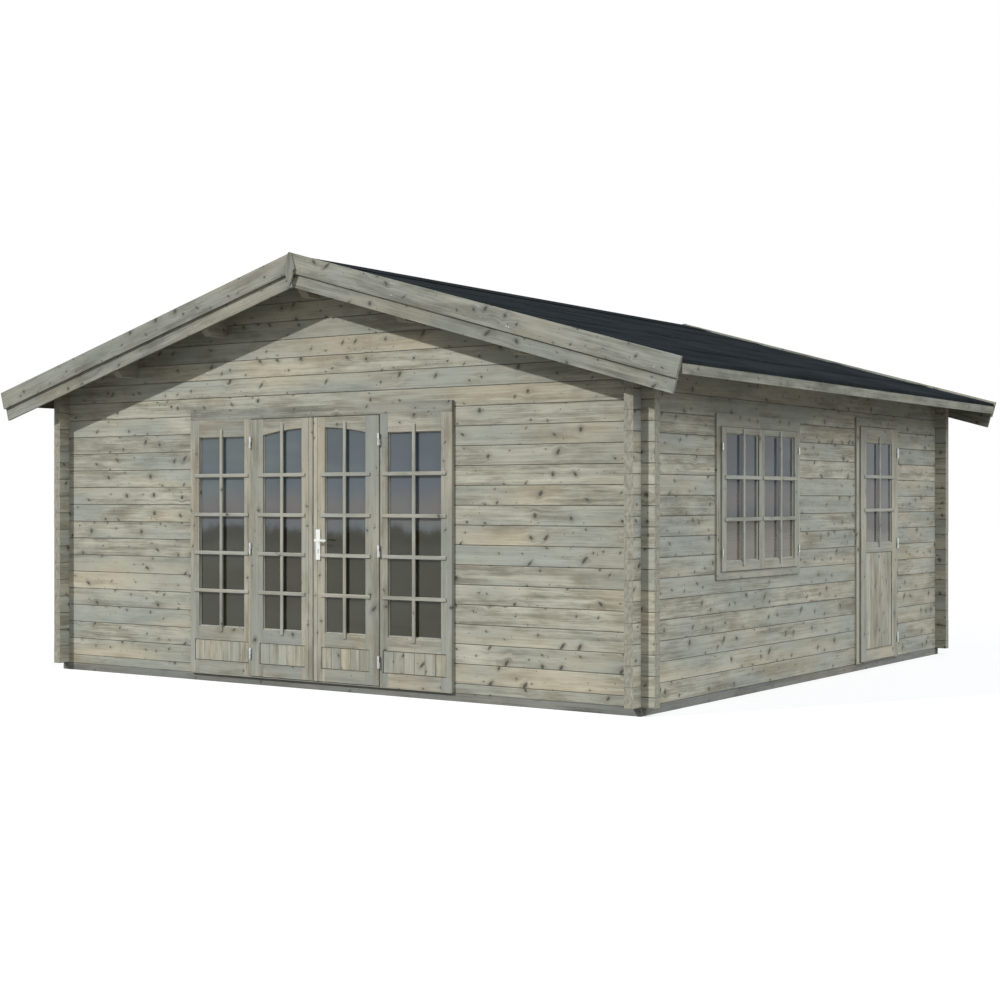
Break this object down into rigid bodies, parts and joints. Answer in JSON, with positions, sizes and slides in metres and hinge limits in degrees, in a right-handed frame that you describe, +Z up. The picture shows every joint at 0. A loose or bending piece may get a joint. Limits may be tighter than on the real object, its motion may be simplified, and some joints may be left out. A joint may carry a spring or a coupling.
{
  "type": "log cabin",
  "caption": "Log cabin with cross-notched corners, felted gable roof, double front doors between sidelights, side window and half-glazed side door.",
  "frame": {"origin": "on the ground, at the centre of the plan", "axes": "+X along the gables to the viewer's right when facing the double doors, +Y from the front gable to the rear gable, +Z up"},
  "size_m": [6.426, 6.0528, 3.2064],
  "materials": {
    "logs": "weathered pine, satin matte",
    "floor_wood": "planed pine, matte",
    "trim_wood": "weathered pine, matte",
    "roof_wood": "planed pine, matte",
    "felt": "mineral roofing felt, matte",
    "joinery": "weathered pine, matte",
    "glass": "clear glass",
    "hinge_steel": "zinc plated, satin",
    "handle_metal": "white coated, satin"
  },
  "bodies": {
    "cabin": {"foundation_frame": "trim_wood", "floor_joists": "trim_wood", "floor_boards": "floor_wood", "front_wall_left": "logs", "front_wall_right": "logs", "front_gable": "logs", "rear_wall": "logs", "rear_gable": "logs", "left_wall": "logs", "right_wall_front": "logs", "right_wall_rear": "logs", "right_wall_top": "logs", "ridge_purlin": "trim_wood", "side_purlins_left": "trim_wood", "side_purlins_right": "trim_wood", "roof_boards_left": "roof_wood", "roof_boards_right": "roof_wood", "roof_felt_left": "felt", "roof_felt_right": "felt", "front_barge_left": "trim_wood", "front_barge_right": "trim_wood", "rear_barge_left": "trim_wood", "rear_barge_right": "trim_wood", "ridge_finials": "trim_wood", "eave_fascias": "trim_wood", "door_frame": "joinery", "sidelights": "joinery", "sidelight_glass": "glass", "side_door_frame": "joinery", "frame_hinges": "hinge_steel", "window_frame": "joinery", "window_sashes": "joinery", "window_glass": "glass", "window_hinges": "hinge_steel"},
    "left_leaf": {"left_door": "joinery", "left_door_glass": "glass", "left_door_hinges": "hinge_steel"},
    "right_leaf": {"right_door": "joinery", "right_door_glass": "glass", "right_door_hinges": "hinge_steel", "handle_plate": "handle_metal"},
    "lever": {"lever_handle": "handle_metal"},
    "side_leaf": {"side_door": "joinery", "side_door_glass": "glass", "side_door_hinges": "hinge_steel"}
  },
  "joints": [
    {"name": "left_door_hinge", "type": "hinge", "parent": "cabin", "child": "left_leaf", "pos_m": [-0.6235, -2.768, 1.037], "axis": [0, 0, -1], "range_deg": [0, 110]},
    {"name": "right_door_hinge", "type": "hinge", "parent": "cabin", "child": "right_leaf", "pos_m": [0.6235, -2.768, 1.037], "axis": [0, 0, 1], "range_deg": [0, 110]},
    {"name": "lever_turn", "type": "hinge", "parent": "right_leaf", "child": "lever", "pos_m": [0.054, -2.765, 1.109], "axis": [0, 1, 0], "range_deg": [0, 40], "stiffness_Nm_per_rad": 1, "springref_deg": -17.19},
    {"name": "side_door_hinge", "type": "hinge", "parent": "cabin", "child": "side_leaf", "pos_m": [2.803, 1.6435, 1.037], "axis": [0, 0, 1], "range_deg": [0, 110]}
  ]
}
